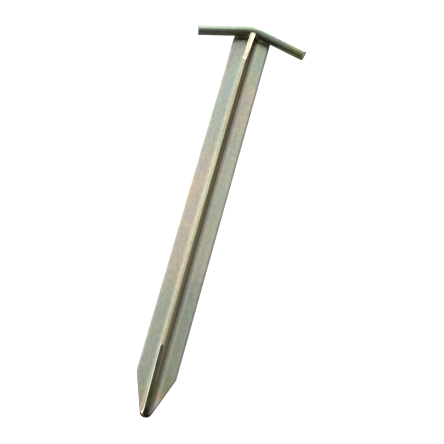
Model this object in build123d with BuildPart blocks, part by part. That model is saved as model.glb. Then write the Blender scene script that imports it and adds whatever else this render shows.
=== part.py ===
"""T-section ground stake with a bent cross rod welded across its head.

The stake lies on the flat back of its flange: X runs across it along the rod, Y along the bar from
the tip (-Y) to the head (+Y), and Z up through the web. The origin is the middle of its underside.
All sizes are in millimetres.
"""

import os
from math import cos, radians, sin

from build123d import *

OVERALL_LENGTH = 400.0

# Rolled tee bar, its web tapering towards its edge
FLANGE_WIDTH = 35.0
BAR_HEIGHT = 35.0
WALL = 4.5
WEB_ROOT = 5.0
WEB_EDGE = 3.6
ROOT_RADIUS = 4.5
TOE_RADIUS = 2.0
WEB_EDGE_RADIUS = 1.0
BACK_EDGE_RADIUS = 0.6

# Sheared point
POINT_LENGTH = 39.5
NOSE_RADIUS = 5.3
WEB_CUT_LENGTH = 53.0
WEB_HEIGHT_AT_NOSE = 6.3

# Sloping cut of the web at the head
HEAD_CUT_LENGTH = 54.0
HEAD_CUT_END = 8.3
HEAD_CUT_END_HEIGHT = 13.3

# Cross rod, laid on the flange's front face and standing a little proud of the bar's end
ROD_RADIUS = 5.0
ROD_STANDS_PROUD = 1.0
ARM_DROOP = 15.0
ARM_REACH = 53.3
BEND_RADIUS = 29.0
ROD_END_CHAMFER = 0.6

# Weld metal, measured from the rod's axis
BEAD_ROOT = 1.6
UNDER_BEAD_TOE = 6.6
UNDER_BEAD_TOP_ANGLE = 24.0
UNDER_BEAD_REACH = 15.5
CROWN_BEAD_TOE = 3.9
CROWN_BEAD_TOP_ANGLE = 40.0
CROWN_BEAD_REACH = 14.0
TACK_RADIUS = 3.0
TACK_TOP = 12.8
TACK_CROWN = 1.2

HEAD_Y = OVERALL_LENGTH / 2
TIP_Y = -OVERALL_LENGTH / 2
ROD_Z = WALL + ROD_RADIUS
SPARE = 2.0

# The rod's two straight axes meet above its apex, which is the top of the stake.
bend_rise = BEND_RADIUS * (1 / cos(radians(ARM_DROOP)) - 1)
rod_corner_y = HEAD_Y - ROD_RADIUS + bend_rise
arm_end_x = ARM_REACH * cos(radians(ARM_DROOP))
arm_end_y = rod_corner_y - ARM_REACH * sin(radians(ARM_DROOP))
left_arm_end = (-arm_end_x, arm_end_y)
right_arm_end = (arm_end_x, arm_end_y)
rod_corner = (0, rod_corner_y)


def save(piece, name):
    """Label a finished piece and write it under its own name."""
    piece.part.label = name
    export_step(piece.part, f"parts/{name}.step")


os.makedirs("parts", exist_ok=True)

# The cross rod: a round bar bent once, both arms drooping towards the tip.
with BuildPart() as cross_rod:
    with BuildLine(Plane.XY.offset(ROD_Z)) as rod_path:
        FilletPolyline(left_arm_end, rod_corner, right_arm_end, radius=BEND_RADIUS)
    with BuildSketch(Plane(origin=rod_path.line @ 0, z_dir=rod_path.line % 0)):
        Circle(ROD_RADIUS)
    sweep()
    rod_ends = cross_rod.faces().filter_by(GeomType.PLANE)
    chamfer(rod_ends.edges(), ROD_END_CHAMFER)

# The bar: a hot-rolled tee, sheared to a blunt point, its web cut back at both ends.
with BuildPart() as tee_bar:
    with BuildSketch(Plane.XZ.offset(-HEAD_Y)) as tee_section:
        Rectangle(FLANGE_WIDTH, WALL, align=(Align.CENTER, Align.MIN))
        Polygon(
            (-WEB_ROOT / 2, 0),
            (WEB_ROOT / 2, 0),
            (WEB_EDGE / 2, BAR_HEIGHT),
            (-WEB_EDGE / 2, BAR_HEIGHT),
            align=None,
        )
        fillet(tee_section.vertices().group_by(Axis.Y)[1].sort_by(Axis.X)[1:3], ROOT_RADIUS)
        fillet(tee_section.vertices().group_by(Axis.Y)[1].sort_by(Axis.X)[0::3], TOE_RADIUS)
        fillet(tee_section.vertices().group_by(Axis.Y)[0], BACK_EDGE_RADIUS)
        fillet(tee_section.vertices().group_by(Axis.Y)[-1], WEB_EDGE_RADIUS)
    extrude(amount=OVERALL_LENGTH)
    # The flange is sheared on both sides to tangents of a round blunt nose.
    with BuildSketch():
        with BuildLine():
            CenterArc((0, TIP_Y + NOSE_RADIUS), NOSE_RADIUS, 180, 180)
            Polyline(
                (-FLANGE_WIDTH / 2, TIP_Y + POINT_LENGTH),
                (-FLANGE_WIDTH / 2, HEAD_Y - ROD_STANDS_PROUD),
                (FLANGE_WIDTH / 2, HEAD_Y - ROD_STANDS_PROUD),
                (FLANGE_WIDTH / 2, TIP_Y + POINT_LENGTH),
            )
        make_hull()
    extrude(amount=BAR_HEIGHT + SPARE, mode=Mode.INTERSECT)
    # The web slopes down to the nose, and at the head to the lower front of the rod.
    with BuildSketch(Plane.YZ):
        Polygon(
            (TIP_Y + WEB_CUT_LENGTH, BAR_HEIGHT),
            (TIP_Y + WEB_CUT_LENGTH, BAR_HEIGHT + SPARE),
            (TIP_Y - SPARE, BAR_HEIGHT + SPARE),
            (TIP_Y - SPARE, WEB_HEIGHT_AT_NOSE),
            (TIP_Y, WEB_HEIGHT_AT_NOSE),
            align=None,
        )
        Polygon(
            (HEAD_Y - HEAD_CUT_LENGTH, BAR_HEIGHT),
            (HEAD_Y - HEAD_CUT_LENGTH, BAR_HEIGHT + SPARE),
            (HEAD_Y + SPARE, BAR_HEIGHT + SPARE),
            (HEAD_Y + SPARE, WALL),
            (HEAD_Y - HEAD_CUT_END, WALL),
            (HEAD_Y - HEAD_CUT_END, HEAD_CUT_END_HEIGHT),
            align=None,
        )
    extrude(amount=FLANGE_WIDTH, both=True, mode=Mode.SUBTRACT)
    # The cut end of the web is coped to the rod.
    add(cross_rod.part, mode=Mode.SUBTRACT)

save(cross_rod, "cross_rod")
save(tee_bar, "tee_bar")

# A fillet bead follows the crevice between rod and flange; local +X is the rod's head side.
arm_direction = rod_path.line % 0
bead_plane = Plane(rod_path.line @ 0, x_dir=Vector(0, 0, 1).cross(arm_direction), z_dir=arm_direction)


def on_rod(side, angle):
    """A point of the rod's round section on one side of its axis, at an angle below level."""
    return (side * ROD_RADIUS * cos(radians(angle)), -ROD_RADIUS * sin(radians(angle)))


# Beads on the tip side of the rod, one each side of the web.
under_beads = {}
for name, side in {"left": -1, "right": 1}.items():
    with BuildPart() as under_bead:
        with BuildSketch(bead_plane):
            Polygon(
                (-BEAD_ROOT, -ROD_RADIUS),
                (-UNDER_BEAD_TOE, -ROD_RADIUS),
                on_rod(-1, UNDER_BEAD_TOP_ANGLE),
                (-BEAD_ROOT, 0),
                align=None,
            )
        sweep(path=rod_path.line)
        with Locations((side * UNDER_BEAD_REACH / 2, HEAD_Y, 0)):
            Box(UNDER_BEAD_REACH, OVERALL_LENGTH, BAR_HEIGHT, mode=Mode.INTERSECT)
        add(cross_rod.part, mode=Mode.SUBTRACT)
        add(tee_bar.part, mode=Mode.SUBTRACT)
    under_beads[name] = under_bead
    save(under_bead, f"under_rod_weld_{name}")

# The crown bead joins the head side of the rod to the end of the flange.
with BuildPart() as crown_bead:
    with BuildSketch(bead_plane):
        Polygon(
            (BEAD_ROOT, -ROD_RADIUS),
            (CROWN_BEAD_TOE, -ROD_RADIUS),
            on_rod(1, CROWN_BEAD_TOP_ANGLE),
            (BEAD_ROOT, 0),
            align=None,
        )
    sweep(path=rod_path.line)
    with Locations((0, HEAD_Y, 0)):
        Box(2 * CROWN_BEAD_REACH, OVERALL_LENGTH, BAR_HEIGHT, mode=Mode.INTERSECT)
    add(cross_rod.part, mode=Mode.SUBTRACT)
save(crown_bead, "crown_weld")

# A tack in each corner where the coped end of the web meets the rod.
for name, side in {"left": -1, "right": 1}.items():
    with BuildPart() as tack:
        with BuildSketch(Plane.XY.offset(WALL)):
            with Locations((side * WEB_ROOT / 2, HEAD_Y - 2 * ROD_RADIUS)):
                Circle(TACK_RADIUS)
        extrude(amount=TACK_TOP - WALL)
        fillet(tack.edges().group_by(Axis.Z)[-1], TACK_CROWN)
        add(cross_rod.part, mode=Mode.SUBTRACT)
        add(tee_bar.part, mode=Mode.SUBTRACT)
        add(under_beads[name].part, mode=Mode.SUBTRACT)
        with Locations((side * TACK_RADIUS, HEAD_Y, 0)):
            Box(2 * TACK_RADIUS, OVERALL_LENGTH, BAR_HEIGHT, mode=Mode.INTERSECT)
    save(tack, f"web_weld_{name}")
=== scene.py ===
"""Looks of the T-section ground stake: yellow-passivated zinc on steel, lying on a pale studio floor.

Lengths are in metres, in the stake's own frame: X across, Y from tip to head, Z up through the web.
"""

import math
import random

import bmesh
import bpy
from mathutils import Matrix, Vector, noise


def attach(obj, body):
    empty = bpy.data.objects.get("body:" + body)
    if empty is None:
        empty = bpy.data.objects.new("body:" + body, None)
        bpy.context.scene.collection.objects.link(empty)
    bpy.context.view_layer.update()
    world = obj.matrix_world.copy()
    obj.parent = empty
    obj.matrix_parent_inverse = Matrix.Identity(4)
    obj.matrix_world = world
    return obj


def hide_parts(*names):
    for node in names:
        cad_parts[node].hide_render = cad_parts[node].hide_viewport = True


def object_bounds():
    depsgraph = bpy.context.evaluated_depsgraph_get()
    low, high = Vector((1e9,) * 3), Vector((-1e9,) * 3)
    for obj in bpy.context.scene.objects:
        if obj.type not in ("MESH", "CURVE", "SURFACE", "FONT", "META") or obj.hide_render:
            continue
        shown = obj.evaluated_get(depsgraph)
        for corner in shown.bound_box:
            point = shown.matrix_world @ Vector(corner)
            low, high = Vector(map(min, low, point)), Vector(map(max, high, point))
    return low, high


MM = 0.001

# Camera: tilted from straight above towards the tip, a little to the right, and rolled
CAMERA_TILT = 27.4
CAMERA_SIDE = 3.12
CAMERA_ROLL = 15.59
CAMERA_OFFSET = Vector((0.01698, -0.00834, 1.37015))
CAMERA_LENS = 124.6
SENSOR_WIDTH = 36.0

# Sizes repeated from the solids
WALL = 4.5 * MM
BAR_HEIGHT = 35.0 * MM
TIP_SLOPE = 53.0 * MM
ROD_RADIUS = 5.0 * MM
ROD_DROOP = math.radians(15)
ROD_BEND_RADIUS = 29.0 * MM
ROD_REACH = 51.48 * MM

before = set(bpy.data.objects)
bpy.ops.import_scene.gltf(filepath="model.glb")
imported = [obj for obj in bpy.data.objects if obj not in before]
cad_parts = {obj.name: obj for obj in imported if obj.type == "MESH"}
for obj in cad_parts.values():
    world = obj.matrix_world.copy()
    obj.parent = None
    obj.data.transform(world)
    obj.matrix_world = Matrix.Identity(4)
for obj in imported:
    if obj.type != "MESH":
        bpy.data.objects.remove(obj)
cad_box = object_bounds()
low, high = cad_box
TIP_Y, HEAD_Y = low.y, high.y
ROD_Z = WALL + ROD_RADIUS


# ---------------------------------------------------------------- shader helpers

def linear(red, green, blue):
    """A linear colour from display values of 0 to 255."""
    return tuple((c / 255) ** 2.2 for c in (red, green, blue)) + (1.0,)


class Nodes:
    """Makes and links the nodes of one material or world."""

    def __init__(self, owner):
        self.tree = owner.node_tree
        self.place = 0

    def add(self, kind, settings=None, **inputs):
        """A node of this kind, with its settings, and with values or sockets for its inputs."""
        node = self.tree.nodes.new(kind)
        self.place += 1
        node.location = (self.place * 60, -(self.place % 6) * 160)
        for key, value in (settings or {}).items():
            setattr(node, key, value)
        for key, value in inputs.items():
            self.feed(node.inputs[key.replace("_", " ")], value)
        return node

    def feed(self, socket, value):
        """Links a socket to an input, or sets the input's own value."""
        if isinstance(value, bpy.types.NodeSocket):
            self.tree.links.new(value, socket)
        else:
            socket.default_value = value

    def math(self, operation, a, b=0.0, c=0.0):
        node = self.add("ShaderNodeMath", {"operation": operation})
        for socket, value in zip(node.inputs, (a, b, c)):
            self.feed(socket, value)
        return node.outputs[0]

    def total(self, *weighted):
        """The sum of (value, weight) pairs."""
        result = 0.0
        for value, weight in weighted:
            result = self.math("MULTIPLY_ADD", value, weight, result)
        return result

    def mix(self, factor, a, b, blend="MIX"):
        """Two colours mixed, each a socket or a colour."""
        node = self.add("ShaderNodeMix", {"data_type": "RGBA", "blend_type": blend})
        self.feed(node.inputs[0], factor)
        self.feed(node.inputs[6], a)
        self.feed(node.inputs[7], b)
        return node.outputs[2]

    def noise(self, coordinates, stretch, scale, detail=3.0, roughness=0.55, distortion=0.0, turn=0.0):
        """A noise pattern; a small stretch along an axis draws the pattern out along it."""
        mapped = self.add("ShaderNodeMapping", Vector=coordinates, Scale=stretch, Rotation=(0, 0, turn))
        node = self.add("ShaderNodeTexNoise", Vector=mapped.outputs[0], Scale=scale, Detail=detail,
                        Roughness=roughness, Distortion=distortion)
        return node.outputs[0]

    def ramp(self, factor, stops):
        """A colour ramp from (position, colour) stops."""
        node = self.add("ShaderNodeValToRGB", Fac=factor)
        elements = node.color_ramp.elements
        while len(elements) < len(stops):
            elements.new(0.5)
        for element, (position, colour) in zip(elements, stops):
            element.position = position
            element.color = colour
        return node.outputs[0]

    def span(self, value, start, end, low_value=0.0, high_value=1.0, smooth=True):
        """A value's way from start to end, as a smooth or a straight step."""
        kind = "SMOOTHSTEP" if smooth else "LINEAR"
        node = self.add("ShaderNodeMapRange", {"interpolation_type": kind}, Value=value)
        for socket, number in zip(node.inputs[1:5], (start, end, low_value, high_value)):
            self.feed(socket, number)
        return node.outputs[0]

    def split(self, vector):
        """The X, Y and Z of a vector."""
        return self.add("ShaderNodeSeparateXYZ", Vector=vector).outputs


def new_material(name):
    """An empty node material, its node maker and its Principled shader."""
    material = bpy.data.materials.new(name)
    material.use_nodes = True
    nodes = Nodes(material)
    shader = material.node_tree.nodes["Principled BSDF"]
    return material, nodes, shader


# ---------------------------------------------------------------- plating

# The passivated zinc drifts between these soft colours; a few of them serve as painted shade and painted
# highlight where they are used.
SILVER = linear(149, 155, 147)
STONE = linear(154, 155, 144)
SAGE = linear(140, 142, 132)
MOSS = linear(132, 138, 123)
TEAL = linear(148, 158, 141)
PALE_TEAL = linear(144, 154, 135)
BEIGE = linear(160, 150, 136)
ROSE = linear(166, 156, 143)
PINK = linear(170, 160, 148)
STRAW = linear(160, 162, 147)
YELLOW = linear(165, 155, 113)
OLIVE = linear(123, 126, 100)
AMBER = linear(148, 128, 92)
MAUVE = linear(144, 128, 116)
CREAM = linear(184, 177, 154)
SHELL = linear(170, 165, 143)
SAND = linear(152, 148, 125)
BRIGHT_STRAW = linear(192, 186, 158)
LILAC = linear(160, 153, 152)
# Pale lilac: painted highlight at the flange's toes and beside its right root
PALE_LILAC = linear(184, 176, 168)
# Pale: a painted highlight on the weld right of the web
WELD_HIGHLIGHT = linear(205, 203, 190)
OCHRE = linear(140, 128, 94)
TAN = linear(140, 138, 121)
UMBER = linear(124, 112, 84)
DARK_OLIVE = linear(108, 103, 85)
SLATE = linear(98, 104, 92)
DARK_MAUVE = linear(116, 106, 92)
POND = linear(116, 126, 112)
BOG = linear(78, 80, 60)
# Near black: painted shade at the tip's nose
SHADE_BLACK = linear(44, 44, 34)

# Colours along the bar, from its tip at 0 to its head at 1
LEFT_FLANGE = (
    (0.05, MAUVE), (0.085, MOSS), (0.13, SAGE), (0.22, SAGE), (0.34, BEIGE), (0.45, ROSE),
    (0.6, ROSE), (0.68, STONE), (0.75, SILVER), (0.88, SILVER), (0.94, SAGE),
)
RIGHT_FLANGE = (
    (0.04, MAUVE), (0.065, AMBER), (0.095, OLIVE), (0.14, MOSS), (0.22, MOSS), (0.3, SAGE), (0.4, STONE),
    (0.55, STRAW), (0.7, STRAW), (0.76, PINK), (0.83, PINK), (0.88, TEAL), (0.94, PALE_TEAL), (0.98, YELLOW),
)
# The web's sides, darker than the flange: painted shade on faces turned from the light
WEB_SIDES_PAINTED_SHADE = ((0.3, DARK_OLIVE), (0.5, UMBER), (0.9, UMBER), (1.0, DARK_OLIVE))
WEB_EDGE = ((0.55, SHELL), (0.7, SAND), (0.85, SAND), (0.92, TAN))

# Colours up the sloping cut at the tip, from the nose at 0: dark as painted shade on cuts turned from the
# light, near black at the nose
TIP_CUT = ((0.04, SHADE_BLACK), (0.12, BOG), (0.3, BOG), (0.6, SLATE), (0.85, DARK_MAUVE))

# Colours along the rod, from its left end at 0
ALONG_ROD = ((0.12, SAGE), (0.3, MOSS), (0.45, OLIVE), (0.52, POND), (0.78, POND), (0.88, OLIVE))

# Where the weld's painted highlight sits
WELD_HIGHLIGHT_X = 8.5 * MM
WELD_METAL = ((0.0, DARK_OLIVE), (0.4, UMBER), (0.7, OLIVE), (1.0, MAUVE))

# Tints that multiply the colour in patches: green to warm, and blue to straw
HUE_DRIFT = ((0.0, (0.94, 1.03, 1.0, 1)), (0.5, (1, 1, 1, 1)), (1.0, (1.07, 0.99, 0.95, 1)))
BLUSH_DRIFT = ((0.0, (0.98, 0.98, 1.04, 1)), (0.5, (1, 1, 1, 1)), (1.0, (1.05, 1.015, 0.93, 1)))
# Painted highlight: multiplies the rod's side towards the head paler
HIGHLIGHT_TINT = (1.5, 1.62, 1.66, 1)

# Scales of the noise patterns, from wide clouds to fine specks
CLOUD_SCALE = 46.0
BLUSH_SCALE = 120.0
MOTTLE_SCALE = 210.0
CRYSTAL_SCALE = 620.0
SCRATCH_SCALE = 620.0
STREAK_SCALE = 900.0
SPECK_SCALE = 1700.0
SCRATCH_TURN = 0.45
METALLIC = 0.94
BUMP_STRENGTH = 0.45
BUMP_DEPTH = 0.05 * MM


def plating(name, colouring, grain, roughness, relief=1.0, brightness=1.0):
    """Plated steel; colouring gives its base colour, and grain is small along the way it was drawn."""
    material, nodes, shader = new_material(name)
    coordinates = nodes.add("ShaderNodeTexCoord").outputs["Object"]
    clouds = nodes.noise(coordinates, grain, CLOUD_SCALE, 3.0, 0.55, 0.5)
    mottle = nodes.noise(coordinates, grain, MOTTLE_SCALE, 4.0, 0.6, 0.3)
    crystals = nodes.noise(coordinates, grain, CRYSTAL_SCALE, 3.0, 0.65)
    drawn = tuple(max(0.015, g * g * g) for g in grain)
    streaks = nodes.noise(coordinates, drawn, STREAK_SCALE, 3.0, 0.6)
    specks = nodes.noise(coordinates, (1, 1, 1), SPECK_SCALE, 2.0, 0.7)
    lines = nodes.noise(coordinates, (1.0, 0.03, 1.0), SCRATCH_SCALE, 2.0, 0.5, 0.0, SCRATCH_TURN)
    scratches = nodes.span(lines, 0.66, 0.72)

    colour = colouring(nodes, coordinates, clouds)
    patches = nodes.span(nodes.total((clouds, 0.5), (mottle, 0.5)), 0.3, 0.7)
    colour = nodes.mix(1.0, colour, nodes.ramp(patches, HUE_DRIFT), "MULTIPLY")
    blush = nodes.span(nodes.noise(coordinates, grain, BLUSH_SCALE, 2.0, 0.5, 0.8, 0.3), 0.35, 0.65)
    colour = nodes.mix(1.0, colour, nodes.ramp(blush, BLUSH_DRIFT), "MULTIPLY")
    tone = nodes.total((crystals, 0.75), (streaks, 0.3), (mottle, 0.25))
    tone = nodes.math("MULTIPLY", nodes.math("ADD", tone, 0.35), brightness)
    gain = nodes.add("ShaderNodeCombineColor", Red=tone, Green=tone, Blue=tone)
    colour = nodes.mix(1.0, colour, gain.outputs[0], "MULTIPLY")
    colour = nodes.mix(nodes.math("MULTIPLY", scratches, 0.3), colour, SILVER)
    nodes.feed(shader.inputs["Base Color"], colour)

    gloss = nodes.total((mottle, 0.16), (streaks, 0.1), (scratches, -0.06))
    nodes.feed(shader.inputs["Roughness"], nodes.math("ADD", gloss, roughness - 0.13))
    shader.inputs["Metallic"].default_value = METALLIC
    height = nodes.total((streaks, 0.6), (specks, 0.4), (crystals, 0.9), (scratches, -0.3))
    bump = nodes.add("ShaderNodeBump", Strength=BUMP_STRENGTH * relief, Distance=BUMP_DEPTH, Height=height)
    nodes.feed(shader.inputs["Normal"], bump.outputs[0])
    return material


def along(nodes, value, start, end, clouds, sway=0.22):
    """The place from start to end as 0 to 1, swaying with the clouds."""
    place = nodes.span(value, start, end, smooth=False)
    return nodes.math("ADD", place, nodes.total((nodes.math("SUBTRACT", clouds, 0.5), sway)))


def flange_colour(nodes, x, place):
    """Each half has its own drift, with lilac rims, and pale lines of painted highlight at the toes and
    beside the right root.
    """
    flange = nodes.mix(nodes.span(x, -3 * MM, 3 * MM),
                       nodes.ramp(place, LEFT_FLANGE), nodes.ramp(place, RIGHT_FLANGE))
    from_middle = nodes.math("ABSOLUTE", x)
    rim = nodes.span(from_middle, 13.5 * MM, 17 * MM, 0.0, 0.6)
    flange = nodes.mix(rim, flange, LILAC)
    # Painted highlight along the toes
    toe = nodes.span(from_middle, 16 * MM, 17.2 * MM, 0.0, 0.7)
    flange = nodes.mix(toe, flange, PALE_LILAC)
    # Painted highlight on the flange beside the right root fillet
    root_highlight = nodes.span(x, 9.5 * MM, 7.2 * MM, 0.0, nodes.span(x, 5 * MM, 6 * MM, 0.0, 0.5))
    return nodes.mix(root_highlight, flange, PALE_LILAC)


def web_colour(nodes, x, z, place):
    """Sides painted dark as painted shade on faces turned from the light, more ochre higher up, and a pale
    edge with a painted highlight along its left corner.
    """
    ochre = nodes.span(z, WALL + 6 * MM, WALL + 16 * MM, 0.0, 0.8)
    sides = nodes.mix(ochre, nodes.ramp(place, WEB_SIDES_PAINTED_SHADE), OCHRE)
    # A painted highlight along the left corner of the web's top edge
    corner = nodes.span(x, -0.4 * MM, -1.1 * MM, 0.0, 0.3)
    edge = nodes.mix(corner, nodes.ramp(place, WEB_EDGE), BRIGHT_STRAW)
    return nodes.mix(nodes.span(z, BAR_HEIGHT - 1.8 * MM, BAR_HEIGHT - 0.5 * MM), sides, edge)


def bar_colouring(nodes, coordinates, clouds):
    """The flange's colours up to the web's roots and the web's above; on the right the web's painted shade
    starts lower, over the root fillet.
    """
    x, y, z = nodes.split(coordinates)
    place = along(nodes, y, TIP_Y, HEAD_Y, clouds)
    climb = nodes.math("SUBTRACT", z, WALL)
    # The web's painted shade reaches lower on the right, over the root fillet there
    climb = nodes.math("MULTIPLY", climb, nodes.span(x, -1 * MM, 1 * MM, 1.0, 2.4))
    root = nodes.span(climb, 1.8 * MM, 3.6 * MM)
    return nodes.mix(root, flange_colour(nodes, x, place), web_colour(nodes, x, z, place))


def tip_cut_colouring(nodes, coordinates, clouds):
    """Painted shade on the cuts turned away from the light: near black at the nose, then dark olive, slate,
    and mauve up to where the slope ends.
    """
    y = nodes.split(coordinates)[1]
    return nodes.ramp(along(nodes, y, TIP_Y, TIP_Y + TIP_SLOPE, clouds, 0.3), TIP_CUT)


def weld_colouring(nodes, coordinates, clouds):
    """Weld metal in its own dark burnt colours, with one pale painted highlight right of the web."""
    x = nodes.split(coordinates)[0]
    dark = nodes.ramp(nodes.span(clouds, 0.3, 0.7), WELD_METAL)
    away = nodes.math("ABSOLUTE", nodes.math("SUBTRACT", x, WELD_HIGHLIGHT_X))
    return nodes.mix(nodes.span(away, 1 * MM, 3 * MM, 0.9, 0.0), dark, WELD_HIGHLIGHT)


def rod_colouring(nodes, coordinates, clouds):
    """Colours that drift from one end of the rod to the other, with a painted highlight making the side
    towards the head paler.
    """
    x = nodes.split(coordinates)[0]
    facing_head = nodes.split(nodes.add("ShaderNodeTexCoord").outputs["Normal"])[1]
    plain = nodes.ramp(along(nodes, x, low.x, high.x, clouds, 0.3), ALONG_ROD)
    # Painted highlight on the side towards the head
    highlighted_side = nodes.mix(1.0, plain, HIGHLIGHT_TINT, "MULTIPLY")
    start = nodes.span(x, -5 * MM, 15 * MM, -0.35, 0.1)
    return nodes.mix(nodes.span(facing_head, start, nodes.math("ADD", start, 0.3)), plain, highlighted_side)


def cloudy(stops):
    """A colouring that follows the clouds alone."""

    def colouring(nodes, coordinates, clouds):
        return nodes.ramp(nodes.span(clouds, 0.3, 0.7), stops)

    return colouring


bar_plating = plating("bar_plating", bar_colouring, (1.0, 0.4, 1.0), 0.4)
# The tip's cuts carry painted shade, darkest at the nose
tip_cut_plating = plating("tip_cut_plating", tip_cut_colouring, (1.0, 0.6, 1.0), 0.42, relief=1.6)
# The cuts at the head and the rod's sawn ends: pale cream, partly their own cut colour and partly painted
# highlight, made a tenth brighter
head_cut_plating = plating("head_cut_plating", cloudy(((0.0, STRAW), (0.5, CREAM), (1.0, STONE))),
                           (1.0, 0.6, 1.0), 0.38, relief=1.4, brightness=1.1)
rod_plating = plating("rod_plating", rod_colouring, (0.4, 1.0, 1.0), 0.28)
# The welds are darkened by a quarter: partly their burnt colour, partly painted shade under the rod
weld_plating = plating("weld_plating", weld_colouring, (1.0, 1.0, 1.0), 0.48, relief=1.6, brightness=0.75)
worn_edge = plating("worn_edge", cloudy(((0.0, STRAW), (0.5, SAGE), (1.0, CREAM))),
                    (1.0, 0.6, 1.0), 0.34, relief=0.6)
# Painted highlight: the rolled left edge of the tip's slope, plating made 1.8 times as bright
painted_highlight = plating("painted_highlight_edge", cloudy(((0.0, CREAM), (0.5, STRAW), (1.0, CREAM))),
                    (1.0, 0.4, 1.0), 0.3, relief=0.6, brightness=1.8)


# ---------------------------------------------------------------- mesh helpers

SHARP_ANGLE = math.radians(35)
FLAT_ANGLE = math.radians(0.3)
JOIN_DISTANCE = 0.002 * MM


def add_object(name, data):
    """A new object in the scene that shows this data."""
    thing = bpy.data.objects.new(name, data)
    bpy.context.scene.collection.objects.link(thing)
    return thing


def mesh_object(name, shape):
    """A new object from a finished bmesh, which it frees."""
    mesh = bpy.data.meshes.new(name)
    shape.to_mesh(mesh)
    shape.free()
    return add_object(name, mesh)


def copy_of_node(node, name):
    """A new mesh object with a CAD node's mesh, its split vertices joined and its flat faces made whole."""
    shape = bmesh.new()
    shape.from_mesh(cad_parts[node].data)
    bmesh.ops.remove_doubles(shape, verts=shape.verts, dist=JOIN_DISTANCE)
    bmesh.ops.dissolve_limit(shape, angle_limit=FLAT_ANGLE, verts=shape.verts, edges=shape.edges)
    return mesh_object(name, shape)


def apply_modifiers(piece):
    """Bakes the piece's modifiers into its mesh."""
    graph = bpy.context.evaluated_depsgraph_get()
    done = bpy.data.meshes.new_from_object(piece.evaluated_get(graph))
    piece.modifiers.clear()
    piece.data = done


def shade(piece, angle=SHARP_ANGLE):
    """Smooth shading, with edges sharper than the angle kept crisp."""
    piece.data.shade_smooth()
    piece.data.set_sharp_from_angle(angle=angle)


def skin(shape, rings):
    """Closes rings of points into one outward-facing skin, and returns its two end faces."""
    rows = [[shape.verts.new(point) for point in ring] for ring in rings]
    for one, other in zip(rows, rows[1:]):
        for k in range(len(one)):
            shape.faces.new((one[k], one[k - 1], other[k - 1], other[k]))
    ends = [shape.faces.new(rows[0]), shape.faces.new(reversed(rows[-1]))]
    bmesh.ops.recalc_face_normals(shape, faces=shape.faces)
    return ends


# ---------------------------------------------------------------- bar

EDGE_BREAK = 0.3 * MM
ROLLED_EDGE = 0.9 * MM

# The bar's material slots; the last holds a painted highlight
PLATED, CUT_AT_TIP, CUT_AT_HEAD, WORN, HIGHLIGHTED = range(5)


def is_tip_slope(face):
    """Whether a face is the web's sloping cut at the tip."""
    return face.normal.y < -0.3 and face.normal.z > 0.3


def roll_tip_slope_edge(mesh):
    """The shear pulled the left edge of the tip's sloping cut over into a round."""
    shape = bmesh.new()
    shape.from_mesh(mesh)
    left = []
    for edge in shape.edges:
        slopes = [is_tip_slope(face) for face in edge.link_faces]
        if sorted(slopes) == [False, True] and edge.link_faces[slopes.index(False)].normal.x < -0.3:
            left.append(edge)
    # The round gets the plating with the painted highlight
    bmesh.ops.bevel(shape, geom=left, offset=ROLLED_EDGE, offset_type="OFFSET", segments=4, profile=0.5,
                    affect="EDGES", clamp_overlap=False, material=HIGHLIGHTED)
    shape.to_mesh(mesh)
    shape.free()


def make_bar():
    """The tee bar with its sheared and rolled edges slightly broken."""
    bar = copy_of_node("tee_bar", "tee_bar_detailed")
    bar.data.materials.clear()
    for material in (bar_plating, tip_cut_plating, head_cut_plating, worn_edge, painted_highlight):
        bar.data.materials.append(material)
    for face in bar.data.polygons:
        if face.normal.y < -0.2:
            face.material_index = CUT_AT_TIP
        elif face.normal.y > 0.2:
            face.material_index = CUT_AT_HEAD
        else:
            face.material_index = PLATED
    roll_tip_slope_edge(bar.data)
    bevel = bar.modifiers.new("edge_break", "BEVEL")
    bevel.width = EDGE_BREAK
    bevel.segments = 2
    bevel.limit_method = "ANGLE"
    bevel.angle_limit = SHARP_ANGLE
    bevel.use_clamp_overlap = True
    bevel.material = WORN
    apply_modifiers(bar)
    shade(bar)
    flat = bar.modifiers.new("flat_faces_stay_flat", "WEIGHTED_NORMAL")
    flat.keep_sharp = True
    flat.weight = 90
    apply_modifiers(bar)
    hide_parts("tee_bar")
    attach(bar, "root")


# ---------------------------------------------------------------- rod

ROD_SIDES = 72
STRAIGHT_STEPS = 24
BEND_STEPS = 12
ROD_BEND_REACH = ROD_BEND_RADIUS * math.sin(ROD_DROOP)

# The worn end: how far in from it, with the part of the full radius that is left there
ROD_WEAR = 0.99
ROD_END = ((0.0, 0.86), (0.15 * MM, 0.9), (0.5 * MM, 0.975), (0.75 * MM, ROD_WEAR))
ROD_END_LENGTH = 0.7 * MM

# The rod's material slots
DRAWN, SAWN, ROUNDED = range(3)


def rod_axis_y(x):
    """How far along the bar the rod's axis lies, at a place across it."""
    x = abs(x)
    apex = HEAD_Y - ROD_RADIUS
    if x < ROD_BEND_REACH:
        return apex - ROD_BEND_RADIUS + math.sqrt(ROD_BEND_RADIUS ** 2 - x * x)
    corner = apex + ROD_BEND_RADIUS * (1 / math.cos(ROD_DROOP) - 1)
    return corner - x * math.tan(ROD_DROOP)


def rod_turn(x):
    """How far the rod's axis has turned away from level, at a place across it."""
    if abs(x) < ROD_BEND_REACH:
        return math.asin(x / ROD_BEND_RADIUS)
    return math.copysign(ROD_DROOP, x)


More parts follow.
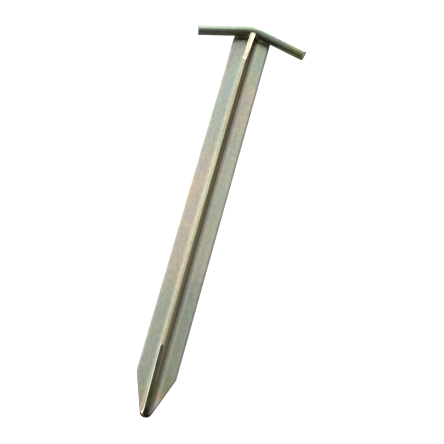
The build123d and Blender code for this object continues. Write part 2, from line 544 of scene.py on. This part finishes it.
def rod_stations():
    """Places across the rod's path with the rod's radius there, from its left end to its right."""
    worn = ROD_WEAR * ROD_RADIUS
    straight = ROD_REACH - ROD_BEND_REACH
    half = [(-ROD_REACH + inset, part * ROD_RADIUS) for inset, part in ROD_END]
    half += [(-ROD_REACH + straight * i / STRAIGHT_STEPS, worn) for i in range(1, STRAIGHT_STEPS + 1)]
    half += [(-ROD_BEND_REACH * (1 - i / BEND_STEPS), worn) for i in range(1, BEND_STEPS + 1)]
    return half + [(-x, radius) for x, radius in reversed(half[:-1])]


def rod_ring(x, radius):
    """The points round the rod at a place across its path."""
    across = Vector((math.sin(rod_turn(x)), math.cos(rod_turn(x)), 0))
    centre = Vector((x, rod_axis_y(x), ROD_Z))
    points = []
    for k in range(ROD_SIDES):
        turn = 2 * math.pi * k / ROD_SIDES
        points.append(centre + across * math.cos(turn) * radius + Vector((0, 0, math.sin(turn) * radius)))
    return points


def make_rod():
    """The bent rod: a drawn round with rounded, worn ends."""
    shape = bmesh.new()
    ends = skin(shape, [rod_ring(x, radius) for x, radius in rod_stations()])
    rounded_from = ROD_REACH - ROD_END_LENGTH - ROD_RADIUS * math.sin(ROD_DROOP)
    for face in shape.faces:
        if face in ends:
            face.material_index = SAWN
        elif abs(face.calc_center_median().x) > rounded_from and abs(face.normal.x) > 0.4:
            face.material_index = ROUNDED
        else:
            face.material_index = DRAWN
    rod = mesh_object("cross_rod_detailed", shape)
    for material in (rod_plating, head_cut_plating, worn_edge):
        rod.data.materials.append(material)
    shade(rod, math.radians(50))
    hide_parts("cross_rod")
    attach(rod, "root")


# ---------------------------------------------------------------- welds

BEAD_SIDES = 28
RINGS_PER_RIPPLE = 8

# The share of a bead's route that each rounded end takes
BEAD_CAP = 0.16

# Ripples: their height and their spread in size as parts of the bead's radius, and how far each leans back
BEAD_CORE = 0.95
RIPPLE_HEIGHT = 0.07
RIPPLE_SPREAD = 0.05
RIPPLE_LEAN = 0.22

# Fine unevenness of the metal, as a part of the bead's radius
BEAD_GRAIN = 0.1
BEAD_GRAIN_SCALE = 500

# The part of a route over which its direction is taken
TRACE = 0.01

# Where the beads' centres run, from the rod's axis and above the flange's front face
BEAD_LIFT = 0.9 * MM
UNDER_BEAD_OFFSET = 4.6 * MM
CROWN_BEAD_OFFSET = 3.3 * MM
CROWN_BEAD_REACH = 13.6 * MM
TACK_X = 3.3 * MM
TACK_START = 2.0 * MM
TACK_HEIGHT = 5.4 * MM
TACK_GAP = 0.5 * MM


def bead_frame(route, s):
    """The bead's centre at a share of its route, and the two directions across it."""
    heading = (route(min(1, s + TRACE)) - route(max(0, s - TRACE))).normalized()
    reference = Vector((0, 0, 1)) if abs(heading.z) < 0.9 else Vector((0, 1, 0))
    across = heading.cross(reference).normalized()
    up = across.cross(heading).normalized()
    return route(s), across, up


def bead_ring(route, s, radius, ripples, drift):
    """The points round the bead at a share of its route."""
    centre, across, up = bead_frame(route, s)
    inward = max(0.0, 1 - min(s, 1 - s) / BEAD_CAP)
    taper = math.sqrt(max(0.02, 1 - inward ** 2))
    points = []
    for k in range(BEAD_SIDES):
        turn = 2 * math.pi * k / BEAD_SIDES
        phase = s * ripples - RIPPLE_LEAN * (1 + math.sin(turn))
        step = int(max(0, phase)) % len(drift)
        ridge = abs(math.sin(math.pi * phase)) ** 0.7
        size = radius * taper * (BEAD_CORE + RIPPLE_HEIGHT * ridge + drift[step])
        offset = across * math.cos(turn) * size + up * math.sin(turn) * size
        grain = noise.noise(Vector((centre + offset) * BEAD_GRAIN_SCALE)) * BEAD_GRAIN
        points.append(centre + offset * (1 + grain))
    return points


def weld_bead(name, node, route, radius, ripples, seed):
    """A rippled bead of weld metal along a route, its ends rounded off, half sunk in what it joins."""
    random.seed(seed)
    drift = [random.uniform(-RIPPLE_SPREAD, RIPPLE_SPREAD) for _ in range(ripples + 2)]
    steps = ripples * RINGS_PER_RIPPLE
    shape = bmesh.new()
    skin(shape, [bead_ring(route, i / steps, radius, ripples, drift) for i in range(steps + 1)])
    bead = mesh_object(name, shape)
    bead.data.materials.append(weld_plating)
    shade(bead, math.radians(60))
    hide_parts(node)
    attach(bead, "root")


def under_rod_route(side):
    """Along the crevice on the tip side of the rod, climbing the web's root fillet."""
    near, far = 3.4 * MM, 15.6 * MM
    climb_length, climb_height = 4.0 * MM, 1.7 * MM

    def route(s):
        x = near + (far - near) * s
        climb = climb_height * max(0.0, 1 - (x - near) / climb_length) ** 2
        y = rod_axis_y(x) - UNDER_BEAD_OFFSET - 0.4 * climb
        return Vector((side * x, y, WALL + BEAD_LIFT + climb))

    return route


def crown_route(s):
    """Along the crevice between the head side of the rod and the end of the flange."""
    x = (2 * s - 1) * CROWN_BEAD_REACH
    return Vector((x, rod_axis_y(x) + CROWN_BEAD_OFFSET, WALL + BEAD_LIFT))


def web_tack_route(side):
    """Up the corner where the coped end of the web meets the rod."""

    def route(s):
        z = WALL + TACK_START + TACK_HEIGHT * s
        rod_side = math.sqrt(max(0.0, ROD_RADIUS ** 2 - (z - ROD_Z) ** 2))
        return Vector((side * TACK_X, HEAD_Y - ROD_RADIUS - rod_side - TACK_GAP, z))

    return route


def make_welds():
    """Every bead at the head."""
    for side, word in ((-1, "left"), (1, "right")):
        under_rod, tack = under_rod_route(side), web_tack_route(side)
        weld_bead(f"under_rod_bead_{word}", f"under_rod_weld_{word}", under_rod, 2.0 * MM, 8, 3 + side)
        weld_bead(f"web_tack_{word}", f"web_weld_{word}", tack, 1.9 * MM, 4, 7 + side)
    weld_bead("crown_bead", "crown_weld", crown_route, 1.5 * MM, 16, 11)


# ---------------------------------------------------------------- stage

def make_camera():
    """The camera looks down on the stake from the side of its tip."""
    turn = (
        Matrix.Rotation(math.radians(CAMERA_SIDE), 4, "Y")
        @ Matrix.Rotation(math.radians(CAMERA_TILT), 4, "X")
        @ Matrix.Rotation(math.radians(CAMERA_ROLL), 4, "Z")
    )
    data = bpy.data.cameras.new("camera")
    data.lens = CAMERA_LENS
    data.sensor_width = SENSOR_WIDTH
    camera = add_object("camera", data)
    camera.matrix_world = Matrix.Translation(turn @ CAMERA_OFFSET) @ turn
    bpy.context.scene.camera = camera


# The soft window beyond the head
WINDOW_PLACE = Vector((0.25, 1.4, 0.22))
WINDOW_AIM = Vector((0, 0.15, 0))
WINDOW_SIZE = (0.6, 0.4)
WINDOW_POWER = 4


def make_window():
    """A soft rectangular light, low beyond the head, that faces the stake."""
    data = bpy.data.lights.new("head_window", "AREA")
    data.shape = "RECTANGLE"
    data.size, data.size_y = WINDOW_SIZE
    data.energy = WINDOW_POWER
    light = add_object("head_window", data)
    turn = (WINDOW_AIM - WINDOW_PLACE).to_track_quat("-Z", "Y").to_matrix().to_4x4()
    light.matrix_world = Matrix.Translation(WINDOW_PLACE) @ turn
    light.visible_camera = False


FLOOR_FLAT = 3.0
FLOOR_BEND = 1.5
WALL_TOP = 4.0
FLOOR_BEND_STEPS = 12
FLOOR_TURNS = 64


def make_floor():
    """A pale floor that bends up into a wall all round; reflections and shadows take no notice of it."""
    profile = [(0.0, 0.0), (FLOOR_FLAT, 0.0)]
    for i in range(1, FLOOR_BEND_STEPS + 1):
        turn = math.pi / 2 * i / FLOOR_BEND_STEPS
        profile.append((FLOOR_FLAT + FLOOR_BEND * math.sin(turn), FLOOR_BEND * (1 - math.cos(turn))))
    profile.append((FLOOR_FLAT + FLOOR_BEND, WALL_TOP))
    shape = bmesh.new()
    points = [shape.verts.new((r, 0, z)) for r, z in profile]
    lines = [shape.edges.new(pair) for pair in zip(points, points[1:])]
    bmesh.ops.spin(shape, geom=points + lines, axis=(0, 0, 1), cent=(0, 0, 0), steps=FLOOR_TURNS,
                   angle=2 * math.pi)
    bmesh.ops.remove_doubles(shape, verts=shape.verts, dist=0.1 * MM)
    floor = mesh_object("floor", shape)
    floor.data.shade_smooth()
    material, nodes, shader = new_material("floor_paint")
    coordinates = nodes.add("ShaderNodeTexCoord").outputs["Object"]
    patches = nodes.noise(coordinates, (1, 1, 1), 3.0, 2.0)
    paint = nodes.ramp(patches, ((0.0, (0.86, 0.86, 0.85, 1)), (1.0, (0.9, 0.9, 0.9, 1))))
    nodes.feed(shader.inputs["Base Color"], paint)
    shader.inputs["Roughness"].default_value = 0.9
    shader.inputs["Emission Color"].default_value = (1, 1, 1, 1)
    shader.inputs["Emission Strength"].default_value = 0.75
    floor.data.materials.append(material)
    floor.visible_diffuse = False
    floor.visible_glossy = False
    floor.visible_shadow = False


# The studio's brightness from the tip side (Y of -1) to the head side (Y of 1), against LIGHT_PEAK
LIGHT_PEAK = 5.0
LIGHT_ABOVE = (
    (0.0, 0.03), (0.2, 0.07), (0.45, 0.14), (0.6, 0.27), (0.7, 0.33), (0.8, 0.33), (0.9, 0.34), (0.96, 0.5),
    (1.0, 1.0),
)
LIGHT_BELOW = ((0.0, 0.1), (0.3, 0.06), (0.45, 0.02), (0.5, 0.02), (0.8, 0.12), (1.0, 0.8))


def grey_stops(levels):
    """Ramp stops of grey from (position, level) pairs."""
    return [(place, (level, level, level, 1)) for place, level in levels]


def studio_glow(nodes):
    """How bright each direction is: brightest low past the head, dim past the tip, mostly dark from below."""
    x, y, z = nodes.split(nodes.add("ShaderNodeTexCoord").outputs["Generated"])
    place = nodes.span(y, -1, 1, smooth=False)
    above, below = (nodes.ramp(place, grey_stops(levels)) for levels in (LIGHT_ABOVE, LIGHT_BELOW))
    glow = nodes.mix(nodes.span(z, -0.12, 0.05), below, above)
    left = nodes.span(x, -0.95, -0.6, 1.8, 1.0)
    sides = nodes.math("MULTIPLY", nodes.span(x, -0.1, 0.4, 1.15, 0.35), left)
    head_sides = nodes.span(x, -0.2, 0.08, 0.55, 1.0)
    glow = nodes.math("MULTIPLY", glow, nodes.span(y, 0.7, 0.95, sides, head_sides))
    flanks = nodes.span(nodes.math("ABSOLUTE", x), 0.5, 0.85)
    flanks = nodes.math("MULTIPLY", flanks, nodes.span(y, 0.05, 0.35, 0.15, 0.0))
    return nodes.math("ADD", glow, flanks)


def make_light():
    """Soft light from all round, and a window low beyond the head."""
    world = bpy.data.worlds.new("studio")
    world.use_nodes = True
    nodes = Nodes(world)
    background = world.node_tree.nodes["Background"]
    background.inputs["Color"].default_value = (0.97, 1.0, 0.98, 1)
    nodes.feed(background.inputs["Strength"], nodes.math("MULTIPLY", studio_glow(nodes), LIGHT_PEAK))
    bpy.context.scene.world = world
    make_window()
    bpy.context.scene.view_settings.view_transform = "Standard"


make_camera()
make_floor()
make_light()
make_bar()
make_welds()
make_rod()
